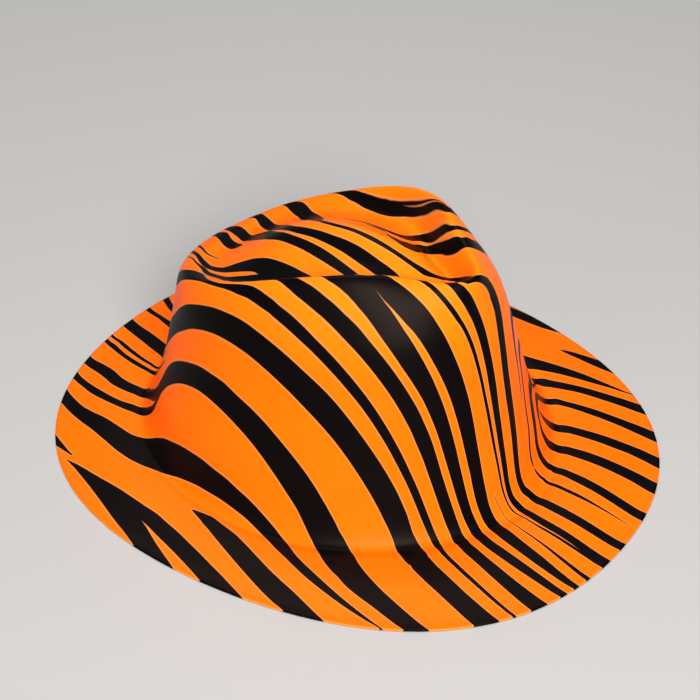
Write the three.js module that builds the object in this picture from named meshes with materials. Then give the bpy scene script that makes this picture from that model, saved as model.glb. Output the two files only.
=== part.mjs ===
// A fedora pressed in one piece from a thin plastic sheet: flat oval brim, tall oval crown,
// and a teardrop groove in the top round a low mound, with its point at the front.
// Millimetres, +Z up. The front of the hat looks along -Y and the wearer's right is -X.
// The origin is in the middle of the brim, on the surface that the hat rests on.

import * as THREE from "three";

// Sheet
const sheetThickness = 1;

// Brim, measured across its cut edge
const brimLength = 292;
const brimWidth = 256;
const brimRise = 4.5;
const restingLip = 4;

// Crown wall, measured just above the curve that joins it to the brim
const crownLength = 183;
const crownWidth = 163;
const crownHeight = 116;
const flareFrontBack = 11.5;
const flareSides = 11.5;

// Ridge round the top, and the mound inside the groove
const crestLength = 144;
const crestWidth = 95;
const moundLength = 67;
const moundWidth = 30;
const moundHeight = 112.5;

// How finely the sheet is divided round the hat
const ribCount = 72;

// Sections from the brim's edge to the foot of the crown.
// reach: 1 at the brim's edge, 0 at the crown's foot. height: share of the brim's rise.
// bands: strips between this section and the one before.
const brimSections = [
  { name: "mid_brim", reach: 0.52, height: 0.72, bands: 2 },
  { name: "inner_brim", reach: 0.16, height: 0.93, bands: 2 },
];

// Sections of the crown from its foot to the top of the mound.
// length and width are shares of the crown, crest or mound, and height of its height.
// shift: how far forward the section's centre lies, as a share of its length.
// rise: slope of the section from back to front. taper: how much it narrows to the front.
// squareFront and squareBack: how far its corners stand out beyond an oval.
// saddle and dip: shares of the height by which it waves twice and three times round.
const crownSections = [
  { name: "wall_low", of: "crown", length: 1, width: 1, height: 0.26, shift: -0.022, rise: 0,
    taper: 0.06, squareFront: -0.02, squareBack: 0.02, saddle: 0, dip: 0, bands: 5 },
  { name: "wall_middle", of: "crown", length: 0.945, width: 0.84, height: 0.535, shift: -0.045, rise: 0.03,
    taper: 0.03, squareFront: -0.02, squareBack: -0.01, saddle: 0, dip: 0, bands: 3 },
  { name: "wall_high", of: "crown", length: 0.865, width: 0.742, height: 0.722, shift: -0.079, rise: 0.165,
    taper: 0.02, squareFront: -0.02, squareBack: 0.01, saddle: 0, dip: 0, bands: 3 },
  { name: "crest", of: "crest", length: 1, width: 1, height: 0.864, shift: -0.074, rise: 0.28,
    taper: 0.22, squareFront: -0.15, squareBack: 0.1, saddle: -0.06, dip: -0.022, bands: 4 },
  { name: "groove", of: "crest", length: 0.84, width: 0.838, height: 0.791, shift: -0.085, rise: 0.176,
    taper: 0.186, squareFront: -0.2, squareBack: 0, saddle: -0.034, dip: 0, bands: 4 },
  { name: "mound_side", of: "mound", length: 1, width: 1, height: 0.924, shift: 0, rise: 0.055,
    taper: 0, squareFront: 0, squareBack: 0, saddle: 0, dip: 0, bands: 4 },
];
const bandsToMoundTop = 3;
const footTaper = 0.02;
const brimTaper = 0.07;
const brimSquareFront = 0.05;
const brimSquareBack = 0.03;

const named = {
  crown: { length: crownLength, width: crownWidth, height: crownHeight },
  crest: { length: crestLength, width: crestWidth, height: crownHeight },
  mound: { length: moundLength, width: moundWidth, height: moundHeight },
};

// A section given in millimetres, from shares of a named size
function crownSection(shares) {
  const size = named[shares.of];
  return {
    halfLength: (size.length * shares.length) / 2,
    halfWidth: (size.width * shares.width) / 2,
    height: size.height * shares.height,
    shift: size.length * shares.length * shares.shift,
    rise: shares.rise,
    taper: shares.taper,
    squareFront: shares.squareFront,
    squareBack: shares.squareBack,
    saddle: size.height * shares.saddle,
    dip: size.height * shares.dip,
    bands: shares.bands,
  };
}

// A level section that lies part of the way from one section to another
function between(inner, outer, reach, height, bands) {
  const mix = (key) => inner[key] + (outer[key] - inner[key]) * reach;
  return {
    halfLength: mix("halfLength"),
    halfWidth: mix("halfWidth"),
    height,
    shift: mix("shift"),
    rise: 0,
    taper: mix("taper"),
    squareFront: mix("squareFront"),
    squareBack: mix("squareBack"),
    saddle: 0,
    dip: 0,
    bands,
  };
}

// All sections of the outer skin, from the brim's edge inwards and up
function hatSections() {
  const crown = crownSections.map(crownSection);
  const wall = crown[0];
  const edge = {
    ...wall,
    halfLength: brimLength / 2,
    halfWidth: brimWidth / 2,
    height: sheetThickness,
    shift: 0,
    taper: brimTaper,
    squareFront: brimSquareFront,
    squareBack: brimSquareBack,
    bands: 0,
  };
  const lip = {
    ...edge,
    halfLength: edge.halfLength - restingLip,
    halfWidth: edge.halfWidth - restingLip,
    bands: 1,
  };
  const foot = {
    ...wall,
    halfLength: wall.halfLength + flareFrontBack,
    halfWidth: wall.halfWidth + flareSides,
    height: sheetThickness + brimRise,
    taper: footTaper,
    bands: 2,
  };
  const brim = brimSections.map((row) => (
    between(foot, lip, row.reach, sheetThickness + brimRise * row.height, row.bands)
  ));
  return [edge, lip, ...brim, foot, ...crown];
}

// The point of a section at an angle, 0 at the front
function sectionPoint(section, turn) {
  const front = Math.cos(turn);
  const side = Math.sin(turn);
  const nearFront = (1 + front) / 2;
  const corner = Math.sin(2 * turn) ** 2;
  const squareness = section.squareFront * nearFront + section.squareBack * (1 - nearFront);
  const swell = 1 + squareness * corner;
  const forward = section.halfLength * front * swell;
  const sideways = section.halfWidth * side * swell * (1 - section.taper * front);
  const wave = section.saddle * Math.cos(2 * turn) + section.dip * Math.cos(3 * turn);
  return new THREE.Vector3(
    sideways,
    -(section.shift + forward),
    section.height + section.rise * forward + wave,
  );
}

// A rib of the outer skin, from the brim's edge over the mound to the edge across
function ribCurve(sections, turn) {
  const moundTop = new THREE.Vector3(0, 0, moundHeight);
  const up = sections.map((section) => sectionPoint(section, turn));
  const down = sections.map((section) => sectionPoint(section, turn + Math.PI)).reverse();
  return new THREE.CatmullRomCurve3([...up, moundTop, ...down], false, "centripetal");
}

// Where each ring of the skin lies along a rib, counted in sections from the edge
function ringPlaces(sections) {
  const places = [0];
  sections.forEach((section, index) => {
    for (let band = 1; band <= section.bands; band += 1) {
      places.push(index - 1 + band / section.bands);
    }
  });
  for (let band = 1; band < bandsToMoundTop; band += 1) {
    places.push(sections.length - 1 + band / bandsToMoundTop);
  }
  return places;
}

// Rings of points on the outer skin
function outerRings(sections) {
  const curves = [];
  for (let rib = 0; rib < ribCount; rib += 1) {
    curves.push(ribCurve(sections, (2 * Math.PI * rib) / ribCount));
  }
  const spans = 2 * sections.length;
  return ringPlaces(sections).map((place) => curves.map((curve) => curve.getPoint(place / spans)));
}

// The inner skin lies one sheet thickness behind the outer one.
// Its flat lip is straight below the outer lip.
function innerRings(outer) {
  const down = new THREE.Vector3(0, 0, -sheetThickness);
  const flatRings = 2;
  return outer.map((ring, level) => ring.map((point, rib) => {
    if (level < flatRings) {
      return point.clone().add(down);
    }
    const nextRib = ring[(rib + 1) % ribCount];
    const lastRib = ring[(rib + ribCount - 1) % ribCount];
    const above = outer[Math.min(level + 1, outer.length - 1)][rib];
    const below = outer[level - 1][rib];
    const around = nextRib.clone().sub(lastRib);
    const upward = above.clone().sub(below);
    const outward = around.cross(upward).normalize();
    return point.clone().addScaledVector(outward, -sheetThickness);
  }));
}

// One closed body: outer skin, inner skin and the cut edge between them
function sheetGeometry() {
  const sections = hatSections();
  const outer = outerRings(sections);
  const inner = innerRings(outer);
  const levels = outer.length;
  const points = [...outer.flat(), ...inner.flat()];
  const outerTop = points.push(new THREE.Vector3(0, 0, moundHeight)) - 1;
  const innerTop = points.push(new THREE.Vector3(0, 0, moundHeight - sheetThickness)) - 1;
  const innerStart = levels * ribCount;
  const triangles = [];
  const quad = (a, b, c, d) => triangles.push(a, b, c, a, c, d);
  for (let rib = 0; rib < ribCount; rib += 1) {
    const next = (rib + 1) % ribCount;
    for (let level = 0; level < levels - 1; level += 1) {
      const low = level * ribCount;
      const high = low + ribCount;
      quad(low + rib, low + next, high + next, high + rib);
      const lowIn = innerStart + low;
      const highIn = innerStart + high;
      quad(lowIn + next, lowIn + rib, highIn + rib, highIn + next);
    }
    const last = (levels - 1) * ribCount;
    triangles.push(last + rib, last + next, outerTop);
    triangles.push(innerStart + last + next, innerStart + last + rib, innerTop);
    quad(innerStart + rib, innerStart + next, next, rib);
  }
  const geometry = new THREE.BufferGeometry().setFromPoints(points);
  geometry.setIndex(triangles);
  geometry.computeVertexNormals();
  return geometry;
}

// Satin plastic, printed orange
const printedPlastic = new THREE.MeshStandardMaterial({
  color: 0xfb8707,
  roughness: 0.45,
  metalness: 0,
});

const shell = new THREE.Mesh(sheetGeometry(), printedPlastic);
shell.name = "hat_shell";

const hat = new THREE.Group();
hat.add(shell);

export default hat;
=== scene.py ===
import math

import bpy
import numpy as np
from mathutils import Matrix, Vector


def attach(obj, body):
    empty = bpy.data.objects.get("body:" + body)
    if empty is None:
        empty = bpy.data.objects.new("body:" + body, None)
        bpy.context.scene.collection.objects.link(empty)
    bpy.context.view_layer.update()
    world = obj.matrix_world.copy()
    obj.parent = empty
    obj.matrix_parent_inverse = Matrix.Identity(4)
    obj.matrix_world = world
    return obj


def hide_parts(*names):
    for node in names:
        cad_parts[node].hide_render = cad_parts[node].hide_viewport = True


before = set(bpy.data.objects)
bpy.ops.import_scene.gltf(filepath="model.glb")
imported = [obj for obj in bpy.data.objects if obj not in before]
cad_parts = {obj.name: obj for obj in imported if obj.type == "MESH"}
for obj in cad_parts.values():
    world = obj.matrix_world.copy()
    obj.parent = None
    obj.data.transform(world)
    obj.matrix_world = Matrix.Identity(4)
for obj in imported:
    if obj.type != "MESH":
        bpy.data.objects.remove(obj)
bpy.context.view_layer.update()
mm = 0.001
print("frame loaded")


# A socket that adds Math nodes when it is used in an expression
class Wire:
    def __init__(self, maker, socket):
        self.maker = maker
        self.socket = socket

    def math(self, operation, *values):
        node = self.maker.add("ShaderNodeMath", {"operation": operation}, values)
        return Wire(self.maker, node.outputs[0])

    def __add__(self, other):
        return self.math("ADD", self, other)

    def __radd__(self, other):
        return self.math("ADD", other, self)

    def __sub__(self, other):
        return self.math("SUBTRACT", self, other)

    def __rsub__(self, other):
        return self.math("SUBTRACT", other, self)

    def __mul__(self, other):
        return self.math("MULTIPLY", self, other)

    def __rmul__(self, other):
        return self.math("MULTIPLY", other, self)

    def __abs__(self):
        return self.math("ABSOLUTE", self)

    def most(self, other):
        return self.math("MAXIMUM", self, other)

    # 0 below low, 1 above high, straight between
    def ramp(self, low, high):
        settings = {"clamp": True}
        node = self.maker.add("ShaderNodeMapRange", settings, {0: self, 1: low, 2: high, 3: 0.0, 4: 1.0})
        return Wire(self.maker, node.outputs[0])


# A new material and the one way in which nodes are added to it
class Finish:
    def __init__(self, name):
        self.material = bpy.data.materials.new(name)
        self.material.use_nodes = True
        self.tree = self.material.node_tree
        self.shader = self.tree.nodes["Principled BSDF"]

    def add(self, kind, settings=None, inputs=None):
        node = self.tree.nodes.new(kind)
        for key, value in (settings or {}).items():
            setattr(node, key, value)
        pairs = inputs.items() if isinstance(inputs, dict) else enumerate(inputs or [])
        for key, value in pairs:
            self.put(node.inputs[key], value)
        return node

    def put(self, socket, value):
        if isinstance(value, Wire):
            self.tree.links.new(value.socket, socket)
        elif isinstance(value, bpy.types.NodeSocket):
            self.tree.links.new(value, socket)
        else:
            socket.default_value = value

    def wire(self, kind, settings, inputs, output=0):
        return Wire(self, self.add(kind, settings, inputs).outputs[output])

    def blend(self, factor, first, second):
        node = self.add("ShaderNodeMix", {"data_type": "RGBA"}, {0: factor, 6: first, 7: second})
        return node.outputs[2]

    def set(self, **values):
        for key, value in values.items():
            self.put(self.shader.inputs[key.replace("_", " ")], value)


# Sizes in millimetres. The front of the hat looks along -Y.
hatForm = {
    "sheet": 1.0,
    "brimLength": 292, "brimWidth": 256, "brimRise": 4.5, "restingLip": 4,
    "brimTaper": 0.07, "brimSquareFront": 0.05, "brimSquareBack": 0.03, "footTaper": 0.02,
    "crown": (183, 163, 116),                    # length, width and height
    "crest": (144, 95, 116),
    "mound": (67, 30, 112.5),
    "flare": 11.5,
    "brimSpread": 34,                            # how much the flat sheet spreads beyond the brim
    "ribs": 360,
    "innerEvery": 3,                             # the inner skin has every third ring
}

# Sections of the crown from its foot up: the form that it is a share of, length, width, height,
# shift forward, slope, taper to the front, squareness at front and back, two waves round it,
# and how much the flat sheet that it was pressed from spreads beyond it, in millimetres
crownSections = [
    ("crown", 1, 1, 0.26, -0.022, 0, 0.06, -0.02, 0.02, 0, 0, 26),
    ("crown", 0.945, 0.84, 0.535, -0.045, 0.03, 0.03, -0.02, -0.01, 0, 0, 14),
    ("crown", 0.865, 0.742, 0.722, -0.079, 0.165, 0.02, -0.02, 0.01, 0, 0, 6),
    ("crest", 1, 1, 0.864, -0.074, 0.28, 0.22, -0.15, 0.1, -0.06, -0.022, 0),
    ("crest", 0.84, 0.838, 0.791, -0.085, 0.176, 0.186, -0.2, 0, -0.034, 0, 0),
    ("mound", 1, 1, 0.924, 0, 0.055, 0, 0, 0, 0, 0, 0),
]
# Sections of the brim: how far out from the crown's foot, and share of the brim's rise
brimSections = [(0.52, 0.72), (0.16, 0.93)]
# Strips between one section and the next, from the brim's edge to the top of the mound
stripCounts = [3, 12, 12, 8, 24, 20, 16, 22, 16, 24, 20]


def hatSections():
    rows = []
    for form, length, width, height, shift, *rest in crownSections:
        size = hatForm[form]
        slope, taper, squareFront, squareBack, saddle, dip, spread = rest
        rows.append([size[0] * length / 2, size[1] * width / 2, size[2] * height,
                     size[0] * length * shift, slope, taper, squareFront, squareBack,
                     size[2] * saddle, size[2] * dip, spread])
    sheet, rise = hatForm["sheet"], hatForm["brimRise"]
    halfLength, halfWidth = hatForm["brimLength"] / 2, hatForm["brimWidth"] / 2
    edge = [halfLength, halfWidth, sheet, 0, 0, hatForm["brimTaper"], hatForm["brimSquareFront"],
            hatForm["brimSquareBack"], 0, 0, hatForm["brimSpread"]]
    lip = list(edge)
    lip[0] -= hatForm["restingLip"]
    lip[1] -= hatForm["restingLip"]
    foot = list(rows[0])
    foot[0] += hatForm["flare"]
    foot[1] += hatForm["flare"]
    foot[2] = sheet + rise
    foot[5] = hatForm["footTaper"]
    foot[10] = hatForm["brimSpread"]
    brim = []
    for reach, height in brimSections:
        row = [inner + (outer - inner) * reach for inner, outer in zip(foot, lip)]
        row[2] = sheet + rise * height
        row[8] = row[9] = 0
        brim.append(row)
    return [edge, lip] + brim + [foot] + rows


# Points of a section round the hat, each with its place on the flat sheet
def sectionRing(row, turns):
    halfLength, halfWidth, height, shift, slope, taper, *rest = row
    squareFront, squareBack, saddle, dip, spread = rest
    front, side = np.cos(turns), np.sin(turns)
    nearFront = (1 + front) / 2
    swell = 1 + (squareFront * nearFront + squareBack * (1 - nearFront)) * np.sin(2 * turns) ** 2
    forward = halfLength * front * swell
    sideways = halfWidth * side * swell * (1 - taper * front)
    up = height + slope * forward + saddle * np.cos(2 * turns) + dip * np.cos(3 * turns)
    return np.stack([sideways, -(shift + forward), up,
                     (halfLength + spread) * front, -(halfWidth + spread) * side], -1)


# Rings of the outer skin, from the brim's edge to the mound, along smooth ribs
def skinRings(ribs):
    turns = np.arange(ribs) * 2 * np.pi / ribs
    knots = [sectionRing(row, turns) for row in hatSections()]
    top = np.zeros((ribs, 5))
    top[:, 2] = hatForm["mound"][2]
    knots.append(top)
    chain = [2 * knots[0] - knots[1]] + knots + [np.roll(knots[-2], ribs // 2, 0)]
    rings = []
    for index, strips in enumerate(stripCounts):
        before, start, end, after = chain[index:index + 4]
        gaps = []
        for one, two in ((before, start), (start, end), (end, after)):
            reach = np.sum((two[:, :3] - one[:, :3]) ** 2, -1) ** 0.25
            gaps.append(np.maximum(reach, 1e-4)[:, None])
        first, middle, last = gaps
        straight = (end - start) / middle
        leave = ((start - before) / first - (end - before) / (first + middle) + straight) * middle
        arrive = (straight - (after - start) / (middle + last) + (after - end) / last) * middle
        for step in range(strips):
            t = step / strips
            rings.append(start + leave * t + (3 * end - 3 * start - 2 * leave - arrive) * t * t
                         + (2 * start - 2 * end + leave + arrive) * t ** 3)
    return np.array(rings)


# Black stripes on the flat sheet, charted one by one, all named from the wearer's side. A row of three
# cuts straight across a stripe: how far forward it is, then the stripe's two edges, measured towards
# the wearer's right. A row of four gives both places of a slanted cut. Millimetres.
stripes = {
    "rightBrimFront": [
        (-24, 131, 131.2), (-10, 130.3, 136), (0, 131.8, 139.3), (10, 133.2, 142.6), (20, 135.6, 145.6),
        (30, 138.2, 148.2), (40, 140.5, 150.5), (50, 142, 152.3), (60, 143.2, 153.5), (84, 147, 158),
    ],
    "rightBrimUpper": [
        (-114, 121.4, 121.6), (-105, 123.2, 124.8), (-90, 127.4, 131), (-80, 130, 134.5),
        (-70, 132.5, 138), (-60, 135.2, 141), (-50, 137.7, 143.3), (-40, 139.7, 146.4),
        (-30, 142.5, 149.7), (-20, 145, 152.7), (-10, 147.7, 155.6), (0, 150.2, 158.6),
        (9, 152.5, 161.4), (20, 155, 165), (38, 159.5, 171),
    ],
    "rightBrimLower": [
        (-112, 122, 122.3), (-105, 124, 125.3), (-90, 129, 132.7), (-80, 132.3, 137.7),
        (-70, 135.7, 142.7), (-60, 139, 147.7), (-50, 142.7, 152.3), (-40, 147.3, 157),
        (-30, 152.3, 162), (-20, 156.8, 167), (-8, 162, 173),
    ],
    "backRightSplinter": [
        (-140, 105.5, 111), (-132, 109.2, 114), (-125, 112.5, 115.4), (-120, 115, 116.5),
        (-112.7, 118.3, 118.5),
    ],
    "longRight": [
        (-168, 70, 79), (-159.5, 75, 82.5), (-150, 79.7, 86.6), (-140, 84.3, 91), (-130, 87.5, 95.3),
        (-120, 90, 99.3), (-110, 93.2, 103.6), (-100, 96.4, 107.7), (-95, 97.4, 109.6),
        (-90, 97.2, 111.4), (-80, 98.2, 114.4), (-70, 100.2, 116), (-60, 103, 116.6),
        (-50, 105.5, 117.1), (-40, 108, 118.2), (-30, 110.3, 119.4), (-20, 112.7, 120.7),
        (-10, 114.5, 121.7), (0, 116.4, 122.8), (10, 117.9, 123.8), (20, 119.5, 125.3),
        (30, 121.1, 127.5), (35, 122.2, 128.9), (40, 123.4, 130.1), (45, 125.4, 131), (50, 127.1, 132),
        (60, 129.1, 133.6), (70, 130.5, 134.1), (80, 131.4, 134.1), (90, 131.7, 133.5),
        (100, 131.9, 132.7), (108, 132.3, 132.5),
    ],
    "wallRightSecond": [
        (-184, 39, 44), (-176, 42.7, 48.5), (-170, 44.8, 51), (-160, 47.6, 54.3), (-150, 51.3, 58.5),
        (-140, 56, 63.2), (-130, 58.6, 65.5), (-120, 59.4, 66.8), (-115, 61.8, 67.7), (-110, 65, 69.6),
        (-105, 67.3, 72.3), (-100, 70, 74.8), (-95, 72, 77.4), (-90, 72.6, 79.4), (-85, 71.8, 79.8),
        (-80, 71.1, 79.4), (-75, 71.6, 79.3), (-70, 72.6, 80.1), (-60, 75, 82.1), (-50, 77.2, 84.4),
        (-40, 79.1, 86.8), (-30, 81.4, 89.5), (-20, 83.5, 92.5), (-10, 86.4, 95.5), (0, 88.8, 98.6),
        (10, 91.4, 102), (20, 94.3, 105.5), (30, 97, 108.6), (40, 99.6, 111.1), (50, 102, 114.4),
        (55, 103, 116.1), (60, 103.8, 118.5), (65, 104.8, 121.2), (70, 105.9, 123.2),
        (75, 107.9, 124.7), (80, 111, 125.6), (85, 113.2, 125.9), (90, 114.7, 125.8),
        (95, 115.9, 125.6), (100, 116.6, 125.6), (110, 117.5, 125.9), (126, 118.8, 126.6),
    ],
    "wallRightBelow": [
        (-174, 55.5, 60.5), (-165, 60.7, 65), (-155, 65, 68.8), (-145, 68.8, 73.2), (-135, 72.1, 76.4),
        (-125, 74.4, 78.6), (-115, 74.8, 80.4), (-110, 75.3, 80.9), (-105, 77, 81.6),
        (-100, 78.3, 82.7), (-95, 79.8, 83.6), (-90, 79.7, 83.7), (-86, 77.5, 81.8), (-81, 75, 79),
    ],
    "wallRightThird": [
        (-188, -2, 6), (-178.6, 1, 9.5), (-170, 4.5, 12.8), (-160, 8.2, 17.3), (-150, 11.8, 21.6),
        (-140, 15.5, 25.3), (-130, 19.5, 29.3), (-122, 25, 34.6), (-115, 31.5, 40.8),
        (-108, 37.5, 46.5), (-100, 43, 52), (-95, 46, 55), (-90, 48.8, 57.6), (-80, 52, 60.6),
        (-70, 53.7, 62.5), (-60, 54.7, 64), (-50, 54.8, 65), (-40, 55.6, 66.1), (-30, 57.3, 67.3),
        (-20, 59.8, 68.9), (-10, 62.1, 70.9), (0, 64.5, 73), (10, 66.6, 75.3), (20, 68.4, 77.5),
        (30, 70, 79.5), (40, 71.2, 81.2), (50, 72.6, 82.9), (60, 74.1, 84.8), (70, 75.4, 86.4),
        (80, 76.5, 87.4), (90, 77.5, 88.4), (95, 78, 89.6), (100, 78.8, 92.6), (105, 79.6, 95.5),
        (108, 81.2, 96.5), (110, 82.9, 97), (115, 85.3, 98), (120, 86.8, 98.8), (130, 89.3, 100.5),
        (140, 90.9, 102.4), (153, 92.8, 105),
    ],
    "underCrestRight": [
        (-188, -18, -14.5), (-176.4, -14.3, -10.9), (-170, -12.3, -9.2), (-165, -10.6, -7.4),
        (-160, -9, -5), (-150, -6, -1), (-140, -3, 3), (-132, 0, 6.2), (-124, 3, 9.8), (-116, 6.8, 14),
        (-108, 11, 19.3), (-100, 15.2, 24.5), (-92, 19.5, 29.8), (-85, 24.5, 34.3), (-79, 29, 37.6),
        (-75, 31.5, 39.6), (-70, 30.6, 41), (-65, 28.4, 39.6), (-60, 26.9, 37.7), (-55, 26.5, 36.8),
        (-50, 29, 37), (-45, 32.9, 38.3), (-40, 37.3, 40.7), (-35, 41.2, 43.9), (-30, 44.3, 46.7),
        (-25, 46.3, 49), (-20, 47.6, 51.2), (-15, 48.9, 53.3), (-10, 50.3, 54.8), (-5, 52.2, 56.4),
        (0, 54.1, 57.9), (5, 55.6, 59), (10, 57, 60.2), (20, 58.7, 61.9), (30, 60, 63.2),
        (40, 60.9, 64.5), (50, 61.9, 65.8), (60, 63, 67), (70, 64.3, 68.5), (80, 65.9, 70.2),
        (90, 67.5, 71.5), (100, 68.5, 72.4), (105, 68.9, 72.8), (110, 69.5, 73.5), (113, 70, 74.8),
        (115, 71, 76.4), (117, 73.6, 77.3), (120, 75.5, 78.4), (125, 77.3, 80), (130, 78.9, 81.4),
        (140, 81.4, 83.5), (150, 83.4, 85.1), (158, 84.8, 86.2),
    ],
    "wallRightFourth": [
        (-10, 43, 47.5), (-4, 43.5, 47.9), (1, 44, 48), (5, 45.5, 49.4), (10, 46.7, 51.5),
        (15, 48.5, 53), (20, 49.6, 53.9), (25, 50.4, 54.5), (30, 50.9, 54.8), (40, 51, 55),
        (50, 50.2, 55), (60, 49.8, 55.2), (70, 49.5, 55.7), (80, 49.6, 56.8), (85, 50.2, 57.9),
        (90, 51, 58.8), (95, 52.3, 60), (100, 53.7, 60.9), (105, 54.6, 61.4), (110, 55, 61.8),
        (115, 55.4, 62.3), (118, 55.8, 62.9), (120, 56, 64.1), (123, 56.8, 66.3), (125, 58.6, 67.2),
        (127, 59.7, 68), (130, 60.7, 68.9), (135, 62.3, 70.5), (140, 63.6, 72), (145, 64.7, 73.2),
        (150, 65.5, 74.3), (160, 66.6, 76.2), (170, 67.7, 78),
    ],
    "wallRightFifth": [
        (8, 40, 43.5), (20, 40.3, 45), (27, 40.7, 46.6), (35, 41, 47.1), (40, 40.3, 47.2),
        (45, 40.5, 47.1), (50, 40.7, 46.7), (55, 40.3, 46.4), (60, 39.5, 46.2), (70, 38.2, 46.1),
        (80, 37.9, 45.7), (85, 38.2, 46.1), (90, 38.9, 46.8), (95, 40, 47.9), (100, 41.2, 49.1),
        (105, 42.7, 50.2), (110, 44.1, 50.9), (115, 45, 51.2), (120, 45.5, 51.5), (124, 45.6, 51.8),
        (127, 45.8, 53.2), (130, 47.3, 55), (132, 48.7, 55.7), (135, 49.7, 56.4), (140, 50.5, 57.3),
        (145, 51.4, 57.9), (150, 52, 58.1), (160, 53, 58.2), (175, 54.6, 58.5),
    ],
    "wallRightSixth": [
        (30, 43, 45.5), (36, 40.9, 44), (40, 39.8, 42.5), (43, 38.6, 41.8), (45, 37.3, 41.3),
        (46.5, 35.9, 40.9), (49, 34.7, 40.7), (52, 33.9, 40.3), (55, 33.4, 39.8), (60, 31.8, 38.6),
        (65, 29.9, 37.3), (70, 28, 35.8), (75, 26.4, 35), (80, 25.3, 34.5), (85, 24.8, 34.1),
        (90, 24.7, 34.3), (95, 25.5, 35.2), (100, 26.8, 36.1), (105, 28.2, 37.3), (110, 29.6, 38.6),
        (115, 31.3, 40), (120, 32.5, 40.9), (125, 33.6, 41.1), (130, 33.8, 41.4), (133, 33.9, 42.4),
        (136, 35, 44), (140, 36.4, 45.2), (145, 38.2, 46.4), (150, 39.7, 47.3), (155, 40.9, 48),
        (160, 42.3, 48.3), (165, 43.5, 48.6), (177, 46, 49),
    ],
    "hairFrontRight": [
        (124, 28, 28.2), (130, 27.4, 27.7), (135, 27.5, 27.8), (140, 29.2, 29.7), (145, 30.2, 31),
        (150, 31.2, 32.3), (155, 32.1, 33.6), (160, 33, 35.1), (165, 33.9, 36.3), (170, 34.8, 37.6),
        (182, 37, 40.5),
    ],
    "thinFrontRight": [
        (58, 23.5, 26), (64, 21.8, 24), (70, 20, 21.8), (75, 18, 19.8), (80, 15.7, 17.7),
        (85, 13.9, 15.7), (90, 13, 15.1), (95, 13.9, 15.9), (100, 15.3, 17.2), (105, 15.8, 17.9),
        (110, 16.4, 18.4), (115, 17.3, 19.1), (120, 18.7, 20.3), (125, 20, 21.3), (130, 20.4, 21.4),
        (134, 19.9, 20.9), (137, 19.3, 20.1), (140, 19.9, 20.6), (145, 20.5, 21.5), (150, 20.6, 22.2),
        (160, 20.9, 22.9), (170, 21.2, 23.5), (184, 21.8, 24.8),
    ],
    "frontRight": [
        (62, 13.5, 18.5), (66, 12.5, 16.5), (70, 10.7, 15), (75, 8.2, 13.5), (80, 5.6, 11.2),
        (85, 3.6, 9.3), (90, 3, 8.8), (95, 4.4, 10), (100, 6.4, 12), (105, 8, 13), (110, 8.7, 13.6),
        (115, 10, 14.7), (120, 11.8, 16.4), (125, 13.8, 18), (129, 14.5, 18.6), (132, 14, 18.2),
        (135, 12.5, 17.3), (138, 12.1, 17), (141, 12.8, 18), (145, 13.4, 18.8), (150, 13.8, 19.5),
        (160, 14.4, 20.1), (170, 15.3, 21.4), (184, 16.8, 22.5),
    ],
    "frontPoint": [
        (68, 5, 66, 14), (69, -1, 71, 10), (71.5, -2.3, 73, 4), (74, -5.3, 75.3, -0.5),
        (76.5, -9.5, 78, -4.5), (79, -14.2, 80.5, -6.8), (82, -16.4, 82.3, -7.9), (85, -16.2, -8.4),
        (87.5, -15.2, -8.2), (90, -13.6, -7.3), (95, -10, -4.1), (100, -6.9, -0.8), (105, -5.7, 0.6),
        (110, -5.5, 0.6), (115, -4.1, 1.8), (120, -0.9, 4.5), (125, 1.8, 6.8), (128.5, 2.7, 7.5),
        (132, 1.8, 7), (135, -0.7, 5), (138, -2, 4), (141, -2.2, 4.4), (150, -2.3, 4.7), (160, -2, 4.8),
        (184, -1.6, 5),
    ],
    "frontLeftTapered": [
        (89, -40, 90, -40.4), (91.5, -34, 93, -34.6), (94.3, -29, 95.5, -30.3),
        (97, -25.7, 97.7, -27.5), (100.5, -24.3, 101, -26.2), (105, -23.3, -25.1), (110, -22.2, -23.9),
        (115, -20.3, -22), (117.5, -18.1, -19.8), (120, -15.7, -17.4), (123.5, -12.9, -14.6),
        (127, -11.8, -13.5), (130, -14, -12.5), (132.5, -15.8, -13.8), (135, -18, -15.4),
        (138, -18.6, -15.9), (142, -18.8, -16), (150, -19.1, -16.4), (155, -18.9, -16.7),
        (160, -18.6, -17.1), (165, -18.5, -17.5), (175.5, -18.1, -17.9),
    ],
    "frontLeftSecond": [
        (97.5, -60, 94, -59), (99, -56, 95.6, -54.5), (101, -51.5, 97.8, -50), (103, -47.2, 100, -46),
        (105.5, -42.8, 103, -39), (110, -38.7, 107.7, -34.3), (113.2, -35.9, 111.2, -31.6),
        (116.8, -32.5, 116, -28.3), (120, -29.5, -25.4), (123, -28.2, -23.2), (126, -28.2, -22.7),
        (128.6, -29.5, -23.6), (131.4, -31.8, -25.5), (133.2, -33.5, -27.2), (136, -34.2, -27.9),
        (140, -34.6, -28.2), (145, -35, -28), (150, -34.8, -27.8), (160, -34.3, -27.2),
        (170, -33.5, -26.4), (183, -32.2, -25),
    ],
    "frontLeftThird": [
        (103.5, -61, 101.5, -59), (105.5, -56, 103.4, -54.5), (107.7, -51.8, 105.5, -50.5),
        (110.5, -48.2, 108.5, -46.5), (113.2, -45.5, 111.5, -43.3), (116, -44, 115, -41.4),
        (119, -44.5, 119.5, -39.4), (121, -46.5, 123, -39.8), (122.5, -48.7, 125.5, -42),
        (124.2, -52.4, 127.5, -45.2), (127, -54.5, 130, -47.4), (131, -55.8, 133, -48.2),
        (136, -57.5, -48.8), (140, -58.3, -49.8), (145, -59.2, -50.5), (150, -60.2, -51.2),
        (155, -61, -51.9), (160, -61.3, -52.3), (166, -60.6, -51.7), (178, -58.5, -50),
    ],
    "frontLeftFourth": [
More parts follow.
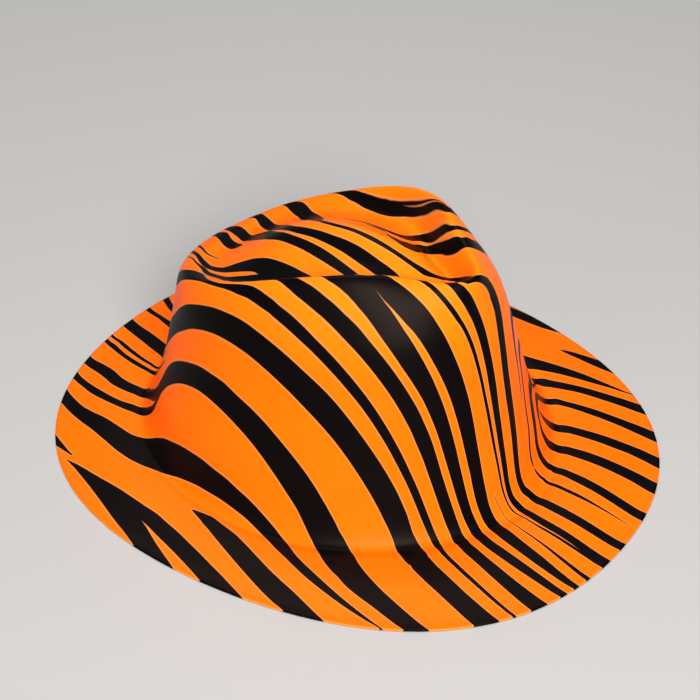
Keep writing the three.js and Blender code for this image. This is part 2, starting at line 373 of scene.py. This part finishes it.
        (108.5, -50, 107.5, -49.5), (110, -54.5, 112.3, -53), (111, -60, 115, -58),
        (112, -66, 117, -62), (113.3, -71, 119, -65.4), (117, -73.3, 121.5, -67),
        (122, -75, 125, -68.3), (130, -77.2, -69.4), (140, -80, -71.4), (145, -81.3, -73),
        (150, -81.7, -73.6), (156, -81, -73.5), (168, -78.5, -71.5),
    ],
    "frontLeftFifth": [
        (102, -56.5, 104.6, -55.5), (99.5, -66, 102.5, -66), (97.5, -74.5, 101.3, -75),
        (96, -83, 100.6, -82), (95.4, -89.5, 100.8, -86.6), (97.5, -93.4, 102.5, -88.8),
        (102, -94.4, 105, -89.8), (110, -96.1, -90.6), (120, -97.8, -91.4), (130, -99.8, -92.7),
        (135, -100.6, -93), (142, -100, -93.2), (156, -97.5, -91.5),
    ],
    "frontLeftSixth": [
        (97.8, -58.9, 99.8, -57), (95, -69, 96.8, -67), (91.5, -79, 93.5, -75.5), (87, -89, 89.5, -86),
        (82.5, -96.5, 86, -94), (78, -102.5, 84.6, -99.5), (79, -106.6, 86, -101.2),
        (85, -108.3, 90, -102.4), (92, -110.5, 96, -104.7), (100, -112.8, -106.1),
        (110, -116.1, -108.3), (116, -117.8, -110), (123, -117.9, -111.3), (138, -117, -111.5),
    ],
    "leftBrimTapered": [
        (-88, -147, -140), (-80, -144, -136.5), (-65, -138.5, -129), (-50, -133, -122.5),
        (-35, -128, -117), (-20, -124, -112), (-5, -121, -108.5), (10, -119, -106), (25, -118.5, -105),
        (40, -119, -106), (50, -120.3, -107.5), (60, -121.2, -109.8), (70, -122.4, -112.6),
        (80, -123.6, -115.6), (90, -124.7, -117.9), (95, -124.9, -119.2), (100, -125, -121),
        (105, -124.9, -122.7), (112, -124.5, -123.7), (117, -124.3, -124),
    ],
    "leftBrimShort": [
        (63.5, -139.1, -138.8), (67, -141, -138), (71, -142.4, -137.8), (78, -143.1, -137.6),
        (85, -142.8, -137), (95, -142, -136.3), (105, -141, -135),
    ],
    "leftBrimEdge": [
        (-52, -167, -159), (-30, -160.5, -151.5), (-12, -159, -150), (0, -160, -151),
        (15, -160.5, -153), (30, -159.8, -153.4), (40, -158.6, -153.9), (50, -157, -154.8),
        (58, -156, -155.8),
    ],
    "backHairUpper": [
        (-188, 16, 17.6), (-178, 20, 21.8), (-170, 22.3, 24.5), (-165, 24.6, 27.2), (-155, 29.3, 31.8),
        (-145, 33.2, 35.5), (-135, 36.1, 38), (-130, 37.3, 39.2), (-125, 40.3, 41.8),
        (-119, 44.2, 45.6), (-112, 48.7, 50.1), (-104, 53.2, 54.4), (-96, 57.2, 58), (-88, 60.5, 60.8),
    ],
    "backHairLower": [
        (-184, 22, 25), (-177.5, 25, 27.7), (-170, 27.4, 30.9), (-165, 30, 33.2), (-155, 35, 37.7),
        (-145, 38.2, 41.3), (-135, 40.8, 43.6), (-130, 41.5, 44.6), (-125, 43.8, 46.8),
        (-119, 48, 50.6), (-112, 52.5, 54.8), (-104, 57.4, 59.2), (-96, 61.5, 62.7), (-86, 65.3, 65.6),
    ],
    "crestBackHair": [
        (-158, -27, -26.6), (-140, -22.3, -20.4), (-125, -17.6, -15), (-115, -13.2, -10.4),
        (-105, -7.6, -5), (-97, -2.4, -0.2), (-90, 2.2, 4), (-84, 5.4, 6.6), (-80, 7, 8.2),
        (-75, 8.2, 9.2), (-70, 9.5, 10.2), (-65, 11.3, 11.8), (-58, 13.6, 13.8),
    ],
    "grooveBackUpper": [
        (-184, -36, -30), (-174, -28.8, -24), (-170, -26, -21.4), (-160, -20.2, -16),
        (-150, -16, -11.8), (-140, -12.4, -8), (-130, -9, -4.6), (-120, -6, -1.5), (-112, -2.4, 2.2),
        (-104, 1.4, 6), (-96, 5.4, 9.8), (-90, 8.4, 12.4), (-85, 10.6, 13.8), (-80, 12.3, 14.6),
        (-75, 12.7, 14.6), (-70, 13, 14.7), (-65, 14.3, 15.9), (-60, 17.1, 18.7), (-55, 20.6, 22.2),
        (-50, 22.2, 25), (-47.5, 21.4, 26.2), (-45, 20.2, 26.9), (-40, 19.2, 27.2), (-35, 19.6, 27.4),
        (-30, 20.5, 28), (-25, 21.5, 30), (-20, 22.5, 32), (-15, 23.4, 34), (-10, 24.4, 36),
        (-5, 25.2, 38), (0, 26.5, 39.5), (10, 30, 42),
    ],
    "grooveBackLower": [
        (-102, 10.3, 10.6), (-95, 14, 14.9), (-88, 17, 18.1), (-82, 18, 18.6), (-75, 17.8, 18.3),
        (-70, 17.1, 17.6), (-65, 17.5, 18), (-60, 19.6, 20.1), (-55, 22.6, 23.4), (-50, 26.5, 27.6),
        (-45, 29.2, 31), (-40, 31.1, 33.3), (-35, 30.5, 36), (-32, 30, 38.2), (-30, 29.5, 39.8),
        (-27.5, 29, 41.8), (-25, 29, 43.3), (-22, 30, 45.2), (-18, 31, 46.8), (-14, 33, 47.9),
        (-10, 36, 48.2), (-5, 39, 48), (0, 41.5, 47.7), (5, 43.5, 47),
    ],
    "crestBackFirst": [
        (-190, -57, -51), (-170, -50, -44), (-150, -43, -37), (-135, -38, -32), (-120, -33, -27),
        (-110, -28, -22), (-102, -22.5, -16.5), (-94, -16, -10.5), (-87, -10, -5.4), (-81, -7, -3),
        (-76, -6, -1.8), (-72, -5.2, 0.2), (-66, -2.2, 2.7), (-62, -0.8, 4.2), (-60, -0.1, 4.9),
        (-58.3, 0.6, 4.9), (-57.2, 1.4, 4.2), (-56.6, 2.4, 3.2),
    ],
    "crestBackSecond": [
        (-158, -59.5, -59), (-140, -54, -51), (-128, -50, -46.3), (-115, -44.5, -40),
        (-106, -38.5, -33.5), (-98, -31, -26), (-90, -23, -18.8), (-82, -16, -12), (-76, -12.3, -8.6),
        (-72, -11.2, -6.8), (-68, -10.5, -5.4), (-64, -9.6, -4.4), (-60, -7.9, -2.7),
        (-57.5, -7.6, -58.5, -1.9), (-54.5, -9, -57, -1.2), (-51.8, -8.7, -54.7, -0.3),
        (-50, -6.6, -53, 0.6), (-48.4, -4.7, -51.5, 1.7), (-47, -2.9, -50, 2.7),
        (-45.7, -1.2, -48.4, 3.8), (-44, 0.7, -46.3, 5), (-42.5, 2.1, -44, 6.3), (-40, 3.8, -41, 8),
        (-37.5, 5.1, 9.3), (-35, 6.3, 10.2), (-30, 8.2, 11.9), (-25, 9.5, 13.3), (-20, 10.6, 14.5),
        (-10, 12.6, 16.8), (0, 14.8, 18.8), (9, 17, 20.7), (16, 18.8, 22.8), (26, 21.5, 26),
    ],
    "crestBackThird": [
        (-180, -88, -82), (-155, -77, -71), (-140, -71, -65), (-128, -66, -60), (-115, -60, -54),
        (-106, -54.5, -48), (-98, -48, -41), (-90, -40, -33.5), (-82, -32, -26), (-74, -25, -20.5),
        (-68, -21.5, -18.2), (-63, -20.4, -16.8), (-60, -19.6, -15.2), (-56.5, -18.9, -13.6),
        (-51.5, -16.8, -54.3, -11.8), (-48.6, -15.2, -52.3, -10), (-46.6, -13.2, -50.3, -8),
        (-45.2, -10.9, -48.8, -6.5), (-44.1, -8.7, -47.3, -4.9), (-42.9, -6.4, -46, -3.1),
        (-41.5, -4.4, -44.2, -1.2), (-39.8, -2.4, -42, 0.6), (-37.5, -0.4, -39.5, 2.3),
        (-35, 1.4, -36, 4.2), (-30, 2.8, 6.6), (-25, 4.1, 7.6), (-20, 5, 8.4), (-10, 6.4, 10),
        (0, 7, 11.4), (10, 7.3, 13), (20, 8.4, 15), (30, 10.3, 17), (38, 12, 19),
    ],
    "longThinTop": [
        (-134, -87.5, -87.2), (-120, -83, -80), (-110, -79, -75), (-100, -73.5, -68.5), (-92, -67, -61),
        (-84, -59, -53), (-76, -50.5, -44.5), (-68, -41.5, -36), (-61, -34, -30), (-56, -30.4, -27.7),
        (-52, -30.9, -26.5), (-47, -31.1, -26), (-43, -31, -44.5, -24), (-39.5, -30.7, -41.5, -20.5),
        (-36, -28.2, -39, -17), (-33.4, -24.7, -37, -13), (-31.5, -20.5, -35, -10),
        (-30, -16, -33, -7.8), (-28.4, -11.5, -31, -5.8), (-26, -7.6, -28.3, -4.1),
        (-22.5, -4, -24, -2.1), (-19, -1.8, -19.8, 0.1), (-15, -0.5, 1.4), (-10, 0.5, 2.2), (0, 1, 2.7),
        (10, 0.9, 2.6), (20, 0.8, 2.6), (30, 0.5, 2.9), (36, -0.3, 3), (40, -1.4, 2.4), (45, -4, -1),
        (50, -7.9, -4.6), (53, -10.4, -7.4), (56.5, -12, -9.4), (59.5, -12.5, -10.2),
        (62.3, -11.4, 61.6, -9.1), (65, -9, 63.8, -6.8), (67.3, -5.6, 65.7, -3.8), (69.5, -2, 67, 1),
        (71.5, -1, 67, 5), (71.5, 3, 66.5, 9), (70.5, 8, 65.5, 13),
    ],
    "leftCrestSplit": [
        (-134, -98.5, -98.2), (-120, -93, -90.8), (-108, -87, -83.5), (-96, -79.5, -75),
        (-84, -70.5, -66), (-74, -62, -57.5), (-64, -54.2, -49.5), (-54, -47, -43), (-44, -42.3, -39.8),
        (-36, -41.4, -40), (-32, -42.3, -40), (-26, -43.2, -40), (-20, -43, -40.2), (-10, -43.2, -39.2),
        (-5, -43.4, -38.5), (0, -43.4, -38.8), (5, -43.1, -40), (10, -42.8, -40.9), (20, -42.4, -41.3),
        (30, -42.1, -40.6), (34, -42, -40), (37, -42.3, 37.8, -39.2), (38, -43, 41.8, -38.9),
        (38.1, -44, 44.4, -41), (38.3, -46, 45.2, -44), (38.8, -49, 45.4, -48), (40.3, -54, 46.5, -52),
        (45, -61, 50, -57.6), (53, -67.8, 57, -64), (62, -73, 64, -69.3), (72, -76.8, 73, -74),
        (82, -78.9, 82.5, -77.2), (90, -79.6, 90, -79.3),
    ],
    "leftCrestHair": [
        (-2, -43.4, -43), (10, -43.6, -43.1), (20, -43.2, -42.9), (30, -42.9, -42.6),
        (36, -42.6, -42.3),
    ],
    "leftFrontUpper": [
        (-22, -25.5, -25), (-10, -24, -22.6), (0, -21.8, -19.6), (6, -21.4, -17.8),
        (10.5, -21.8, 11, -17.3), (14.5, -25, 15.7, -18.2), (19, -30.9, 19.6, -21.8),
        (22.7, -34.5, 22.9, -27), (27.3, -36.7, 26.6, -31.1), (32.3, -37, 31, -33.2),
        (37.3, -36.4, 36.5, -33.9), (42, -35.4, 41.5, -33.5), (46, -34.3, -32.8),
        (50, -32.8, 49.8, -31.7), (52.2, -33.6, 53.5, -30.9), (53.5, -35.9, 56, -33),
        (53.6, -39, 56, -37.5), (53.2, -43, 55, -42.7), (53.5, -47.5, 55.5, -47),
        (55.5, -53, 57.5, -51.8), (60, -60, 62.3, -57.8), (68, -66, 69.5, -63.3),
        (79, -69.7, 79.5, -67), (88, -70, 88, -67.5), (95, -67.5, 94, -65.5),
    ],
    "leftFrontLower": [
        (-8, -20, -19.5), (0, -19, -17.6), (4.5, -15.8, 5.5, -15), (8, -13, 7, -12),
        (11.8, -12.3, 10.2, -8.5), (15.6, -12.6, 13.2, -4.7), (18.6, -14.2, 18, -3.5),
        (21, -16.8, 23.3, -5.2), (23.5, -20.4, 27.2, -9.8), (26.4, -25, 30, -15.2),
        (30, -29.1, 33.6, -20), (35, -31.6, 37.6, -24.4), (40, -32.4, 42, -27.3),
        (45, -31.9, 46.5, -28.2), (50, -30.2, -27.7), (53.5, -28.6, 53.2, -26.4),
        (57, -27.8, 57.5, -23.7), (59.2, -28.3, 62, -21.7), (60.2, -31, 65, -23),
        (61, -34.5, 66.5, -28.5), (60.5, -38.2, 66.1, -34.5), (60, -41.8, 65, -39.1),
        (60, -46.5, 64.5, -44.5), (61.5, -51.8, 66, -49.2), (65.5, -56.8, 69.3, -53.2),
        (72, -60.8, 75, -56.8), (80, -62.8, 81.5, -58.9), (88, -63, 88.5, -59.6),
        (94.5, -61, 95.5, -58),
    ],
    "leftWallUpper": [
        (-162, -119.5, -119.2), (-140, -114, -111), (-125, -110, -106.5), (-110, -105.5, -101.3),
        (-95, -99.5, -94.5), (-80, -92, -86), (-60, -83, -75.6), (-40, -76, -68), (-20, -70.5, -62.5),
        (0, -66.5, -59.3), (20, -63, -57.8), (31, -61, -58.4), (39, -59.8, -59.4),
    ],
    "leftWallHair": [
        (-76, -101.8, -101.5), (-60, -95, -93.4), (-40, -87.5, -85.3), (-20, -82, -79.7),
        (0, -78.5, -76.1), (20, -76, -73.9), (33, -75, -73.7), (45, -74.2, -73.9),
    ],
    "leftWallWide": [
        (-148, -137, -134), (-125, -130, -126.3), (-110, -126, -121.3), (-95, -122, -116),
        (-80, -118, -110.5), (-65, -113, -104.5), (-45, -106.5, -97.3), (-25, -101, -91),
        (-5, -96.5, -86), (15, -93, -82.3), (35, -90, -80), (55, -87.5, -79.2), (75, -84.5, -80),
        (88, -82, -81.6),
    ],
    "leftBrimMiddle": [
        (-64, -158, -154), (-40, -149.5, -145), (-20, -144.7, -139.6), (0, -141.5, -137),
        (20, -139, -136), (35, -137, -136.7),
    ],
    "frontLeftHair": [
        (77.6, -51, 78, -51.1), (79, -46, 80.3, -46.3), (81, -40, 82.6, -40.8), (83.2, -35, 85, -36),
        (86.6, -29.2, 88, -30.6), (91, -24.2, 92, -25.6), (96.5, -20.2, 97, -21.6),
        (103, -18.6, 103.2, -19.6), (108, -18.2, 108, -18.5),
    ],
}


stripeRules = {
    "smoothSteps": 8,                            # steps from one row to the next
    "onward": 30.0,                              # steps that a stripe is carried on past its ends
    "searched": 14,                              # millimetres round a stripe where it is looked for
    "clear": 1.5,                                # millimetres past its edge where it is dropped
    "farOff": 99.0,
}


# A stripe as a smooth spine: its points and its half-widths there
def stripeSpine(rows):
    cuts = np.array([row if len(row) == 4 else (row[0], row[1], row[0], row[2]) for row in rows], float)
    middles = (cuts[:, :2] + cuts[:, 2:]) / 2
    across = cuts[:, 2:] - cuts[:, :2]
    chain = np.concatenate([[2 * middles[0] - middles[1]], middles, [2 * middles[-1] - middles[-2]]])
    points, widths = [], []
    for index in range(len(middles) - 1):
        before, start, end, after = chain[index:index + 4]
        for step in range(stripeRules["smoothSteps"]):
            t = step / stripeRules["smoothSteps"]
            points.append(0.5 * (2 * start + (end - before) * t
                                 + (2 * before - 5 * start + 4 * end - after) * t * t
                                 + (3 * start - before - 3 * end + after) * t ** 3))
            widths.append(across[index] + (across[index + 1] - across[index]) * t)
    points.append(middles[-1])
    widths.append(across[-1])
    points, widths = np.array(points), np.array(widths)
    along = np.gradient(points, axis=0)
    along /= np.linalg.norm(along, axis=1)[:, None]
    halves = (along[:, 0] * widths[:, 1] - along[:, 1] * widths[:, 0]) / 2
    return points, np.abs(halves)


# How far each place on the sheet lies to the side of a stripe's spine, and the stripe's
# half-width there, which falls away beyond the stripe's ends
def besideStripe(places, points, halves):
    starts, steps = points[:-1], points[1:] - points[:-1]
    lengths = np.linalg.norm(steps, axis=1)
    best = np.full(len(places), np.inf)
    aside, half = np.zeros(len(places)), np.full(len(places), -1.0)
    for index, (start, step, length) in enumerate(zip(starts, steps, lengths)):
        offset = places - start
        t = offset @ step / length ** 2
        lowest = -stripeRules["onward"] if index == 0 else 0.0
        highest = stripeRules["onward"] if index == len(starts) - 1 else 1.0
        t = np.clip(t, lowest, highest)
        away = offset - t[:, None] * step
        distance = np.linalg.norm(away, axis=1)
        side = (step[0] * offset[:, 1] - step[1] * offset[:, 0]) / length
        within = np.clip(t, 0, 1)
        width = halves[index] + (halves[index + 1] - halves[index]) * within
        width = width - np.abs(t - within) * length
        nearer = distance < best
        best = np.where(nearer, distance, best)
        aside = np.where(nearer, np.copysign(distance, side), aside)
        half = np.where(nearer, width, half)
    return aside, half


# For each corner of each face, the two stripes nearest to the face
def stripeCorners(places, faces):
    spines = [stripeSpine(rows) for rows in stripes.values()]
    asides, halves = [], []
    for points, widths in spines:
        low = points.min(0) - stripeRules["searched"]
        high = points.max(0) + stripeRules["searched"]
        near = np.all((places > low) & (places < high), axis=1)
        aside = np.full(len(places), stripeRules["farOff"])
        half = np.full(len(places), -1.0)
        aside[near], half[near] = besideStripe(places[near], points, widths)
        asides.append(aside)
        halves.append(half)
    asides, halves = np.array(asides), np.array(halves)
    depth = (np.abs(asides) - halves)[:, faces].mean(2)
    order = np.argsort(depth, axis=0)
    picked = []
    for rank in (0, 1):
        which = order[rank][:, None]
        aside, half = asides[which, faces], halves[which, faces]
        clear = (np.abs(aside) - half).min(1) > stripeRules["clear"]
        half[clear] = -1
        picked.append((aside, half))
    return picked


# The inner skin lies one sheet thickness behind the outer one and has fewer rings.
# Its lip is straight below the outer lip.
def innerSkin(spots):
    around = np.roll(spots, -1, 1) - np.roll(spots, 1, 1)
    outward = np.cross(around, np.gradient(spots, axis=0))
    outward /= np.linalg.norm(outward, axis=2)[:, :, None]
    inside = spots - outward * hatForm["sheet"]
    lipRings = stripCounts[0] + 1
    inside[:lipRings] = spots[:lipRings] - [0, 0, hatForm["sheet"]]
    kept = [0, lipRings - 1] + list(range(lipRings + 1, len(spots), hatForm["innerEvery"]))
    return inside[kept]


# Faces between rings of points that are numbered from start
def ringFaces(start, rings, ribs):
    here = np.arange(ribs)
    after = (here + 1) % ribs
    strips = []
    for ring in range(rings - 1):
        low = start + ring * ribs
        high = low + ribs
        strips.append(np.stack([low + here, low + after, high + after, high + here], 1))
    return np.concatenate(strips)


# Faces between the last ring of a skin and the point at its top
def capFaces(last, top, ribs):
    here = np.arange(ribs)
    return np.stack([last + here, last + (here + 1) % ribs, np.full(ribs, top)], 1)


# The two nearest stripes at each corner of the printed faces, which come first in the mesh
def storeStripes(mesh, places, printed):
    picked = [stripeCorners(places, faces) for faces in printed]
    for rank, name in enumerate(("nearStripe", "nextStripe")):
        corners = np.zeros((len(mesh.loops), 3), np.float32)
        corners[:, 1] = -1
        begin = 0
        for part in picked:
            aside, half = part[rank]
            end = begin + aside.size
            corners[begin:end, 0] = aside.ravel()
            corners[begin:end, 1] = half.ravel()
            begin = end
        layer = mesh.attributes.new(name, "FLOAT_VECTOR", "CORNER")
        layer.data.foreach_set("vector", corners.ravel())


# The pressed sheet: outer skin, its cap, the cut edge round the brim, inner skin and its cap
def hatShell():
    ribs = hatForm["ribs"]
    top = hatForm["mound"][2]
    outer = skinRings(ribs)
    inner = innerSkin(outer[:, :, :3])
    vertices = np.concatenate([outer[:, :, :3].reshape(-1, 3), [[0, 0, top]],
                               inner.reshape(-1, 3), [[0, 0, top - hatForm["sheet"]]]])
    places = np.concatenate([outer[:, :, 3:].reshape(-1, 2), [[0, 0]]])
    outerTop = len(outer) * ribs
    innerStart = outerTop + 1
    innerTop = len(vertices) - 1
    here = np.arange(ribs)
    after = (here + 1) % ribs
    wall = ringFaces(0, len(outer), ribs)
    cap = capFaces(outerTop - ribs, outerTop, ribs)
    rim = np.stack([innerStart + here, innerStart + after, after, here], 1)
    innerWall = ringFaces(innerStart, len(inner), ribs)[:, [1, 0, 3, 2]]
    innerCap = capFaces(innerTop - ribs, innerTop, ribs)[:, [1, 0, 2]]

    mesh = bpy.data.meshes.new("hat_sheet")
    faces = [face for skin in (wall, cap, rim, innerWall, innerCap) for face in skin.tolist()]
    mesh.from_pydata((vertices * mm).tolist(), [], faces)
    mesh.update()
    mesh.polygons.foreach_set("use_smooth", [True] * len(mesh.polygons))
    storeStripes(mesh, places, (wall, cap, np.stack([here, after, after, here], 1)))

    # 1 on the printed outside, a half on the cut edge and 0 inside
    side = np.zeros(len(mesh.polygons), np.float32)
    outside = len(wall) + len(cap)
    side[:outside] = 1
    side[outside:outside + len(rim)] = 0.5
    layer = mesh.attributes.new("printedSide", "FLOAT", "FACE")
    layer.data.foreach_set("value", side)

    shell = bpy.data.objects.new("hat_sheet", mesh)
    bpy.context.collection.objects.link(shell)
    return shell


# Satin plastic, printed in colours given as red, green and blue on a linear scale
plasticLook = {
    "orange": (1.0, 0.128, 0.0014, 1),
    "orangeWarm": (1.0, 0.118, 0.0012, 1),
    "orangePaintedTopLight": (1.0, 0.168, 0.003, 1),   # painted light: paler orange towards the top of the crown, standing in for brighter light there
    "topLightFrom": 0.07, "topLightTo": 0.106,     # heights in metres
    "printEdge": (0.5, 0.2, 0.05, 1),            # fine pale line beside the black
    "printEdgeWidth": 0.42, "printEdgeBlur": 0.2, "printEdgeShare": 0.8,
    "cutEdge": (0.85, 0.26, 0.04, 1), "cutShare": 0.8,
    "black": (0.0018, 0.0012, 0.0013, 1),
    "inkSpread": 0.13, "inkBlur": 0.12,          # millimetres beyond and across a stripe's edge
    "scuff": (0.92, 0.24, 0.03, 1), "scuffShare": 0.2,
    "touchFrom": 0.098, "touchTo": 0.112, "touchShare": 0.5,
    "cloud": (22.0, 3.0), "cloudFrom": 0.3, "cloudTo": 0.7,
    "speck": (420.0, 4.0), "speckFrom": 0.62, "speckTo": 0.72,
    "ripple": (70.0, 1.0), "rippleHeight": 0.9,  # each noise has its scale and its detail
    "grain": (900.0, 2.0), "grainHeight": 0.5,
    "inkHeight": 0.06, "bumpStrength": 0.1, "bumpDepth": 0.0003,
    "roughness": 0.38, "roughCloud": 0.08, "roughInk": 0.04, "roughScuff": 0.08,
    # painted reflection: a warm tint on the reflections, standing in for warm surroundings
    "bending": 1.5, "gloss": 0.05, "paintedReflectionTint": (1.0, 0.72, 0.6, 1),
}


def printedPlastic():
    look = plasticLook
    finish = Finish("printed_plastic")

    def inkDepth(name):
        attribute = finish.add("ShaderNodeAttribute", {"attribute_name": name})
        parts = finish.add("ShaderNodeSeparateXYZ", {}, [attribute.outputs["Vector"]])
        aside, half = Wire(finish, parts.outputs[0]), Wire(finish, parts.outputs[1])
        return half - abs(aside)

    place = finish.add("ShaderNodeTexCoord").outputs["Object"]

    def noise(name):
        scale, detail = look[name]
        inputs = {"Vector": place, "Scale": scale, "Detail": detail}
        return finish.wire("ShaderNodeTexNoise", {}, inputs)

    depth = inkDepth("nearStripe").most(inkDepth("nextStripe")) + look["inkSpread"]
    ink = depth.ramp(-look["inkBlur"], look["inkBlur"])
    besideInk = depth.ramp(-look["printEdgeWidth"] - look["printEdgeBlur"],
                           -look["printEdgeWidth"] + look["printEdgeBlur"])
    height = finish.wire("ShaderNodeSeparateXYZ", {}, [place], output=2)
    cloud, grain, ripple, speck = [noise(name) for name in ("cloud", "grain", "ripple", "speck")]
    # painted light: the orange turns paler towards the top of the crown
    paintedTopLight = height.ramp(look["topLightFrom"], look["topLightTo"])
    side = finish.wire("ShaderNodeAttribute", {"attribute_name": "printedSide"}, {}, output=2)
    cut = 1.0 - 2.0 * abs(side - 0.5)            # 1 on the cut edge and 0 elsewhere

    # Small scuffs where a hand or a table touches it: the crest and the brim's edge
    touched = (height.ramp(look["touchFrom"], look["touchTo"]) * look["touchShare"]).most(cut)
    scuffed = touched * speck.ramp(look["speckFrom"], look["speckTo"])
    clouded = cloud.ramp(look["cloudFrom"], look["cloudTo"])
    orange = finish.blend(clouded, look["orange"], look["orangeWarm"])
    orange = finish.blend(paintedTopLight, orange, look["orangePaintedTopLight"])
    orange = finish.blend(look["cutShare"] * cut, orange, look["cutEdge"])
    orange = finish.blend(look["printEdgeShare"] * besideInk, orange, look["printEdge"])
    orange = finish.blend(look["scuffShare"] * scuffed, orange, look["scuff"])
    colour = finish.blend(ink, orange, look["black"])
    rough = look["roughness"] + look["roughCloud"] * (cloud - 0.5)
    rough = rough + look["roughInk"] * ink + look["roughScuff"] * scuffed
    surface = look["grainHeight"] * grain + look["rippleHeight"] * ripple + look["inkHeight"] * ink
    inputs = {"Strength": look["bumpStrength"], "Distance": look["bumpDepth"], "Height": surface}
    bump = finish.add("ShaderNodeBump", {}, inputs)
    # The reflections carry the painted warm tint of surroundings that the scene does not hold.
    finish.set(Base_Color=colour, Roughness=rough, Normal=bump.outputs[0], IOR=look["bending"],
               Specular_IOR_Level=look["gloss"], Specular_Tint=look["paintedReflectionTint"])
    return finish.material


hat = hatShell()
hat.data.materials.append(printedPlastic())
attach(hat, "root")
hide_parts("hat_shell")
print("hat built,", len(hat.data.polygons), "faces")


floorLook = {"size": 6.0, "colour": (0.36, 0.35, 0.34, 1), "roughness": 0.7}


def paleFloor():
    half = floorLook["size"] / 2
    mesh = bpy.data.meshes.new("floor")
    corners = [(-half, -half, 0), (half, -half, 0), (half, half, 0), (-half, half, 0)]
    mesh.from_pydata(corners, [], [(0, 1, 2, 3)])
    floor = bpy.data.objects.new("floor", mesh)
    bpy.context.collection.objects.link(floor)
    finish = Finish("pale_floor")
    finish.set(Base_Color=floorLook["colour"], Roughness=floorLook["roughness"])
    mesh.materials.append(finish.material)
    return floor


paleFloor()
print("floor laid")


# Soft lamps: where they stand, how large they are in metres, and their power in watts
lamps = {
    "key": {"at": (-0.95, -1.0, 1.1), "size": 0.9, "power": 53},
    "side": {"at": (-1.6, 0.3, 0.8), "size": 1.2, "power": 5},
    "top": {"at": (0.5, 0.5, 1.6), "size": 1.2, "power": 20},
}
lampAim = (0, 0, 0.05)
studioAir = {"Color": (0.9, 0.92, 1, 1), "Strength": 0.16}


def light(name, at, size, power):
    data = bpy.data.lights.new(name, "AREA")
    data.shape = "DISK"
    data.size = size
    data.energy = power
    lamp = bpy.data.objects.new(name, data)
    lamp.location = at
    lamp.rotation_euler = (Vector(lampAim) - Vector(at)).to_track_quat("-Z", "Y").to_euler()
    bpy.context.collection.objects.link(lamp)


for name, values in lamps.items():
    light(name, **values)
world = bpy.data.worlds.new("studio")
world.use_nodes = True
for name, value in studioAir.items():
    world.node_tree.nodes["Background"].inputs[name].default_value = value
bpy.context.scene.world = world
bpy.context.scene.view_settings.view_transform = "Standard"
print("lamps placed")


# The camera looks at the hat's right side and front. Angles are in degrees.
cameraPlace = {
    "distance": 0.8, "turn": 35.7, "rise": 39.53,
    "down": 36.96, "left": 0.33, "lens": 84.6, "sensor": 36,
}


def photoCamera():
    place = cameraPlace
    turn, rise = math.radians(place["turn"]), math.radians(place["rise"])
    heading, down = turn + math.radians(place["left"]), math.radians(place["down"])
    level = place["distance"] * math.cos(rise)
    at = Vector((-level * math.cos(turn), -level * math.sin(turn), place["distance"] * math.sin(rise)))
    ahead = math.cos(down)
    aim = Vector((math.cos(heading) * ahead, math.sin(heading) * ahead, -math.sin(down)))
    data = bpy.data.cameras.new("photo_view")
    data.lens = place["lens"]
    data.sensor_width = place["sensor"]
    camera = bpy.data.objects.new("photo_view", data)
    camera.location = at
    camera.rotation_euler = aim.to_track_quat("-Z", "Y").to_euler()
    bpy.context.collection.objects.link(camera)
    bpy.context.scene.camera = camera


photoCamera()
print("camera placed")
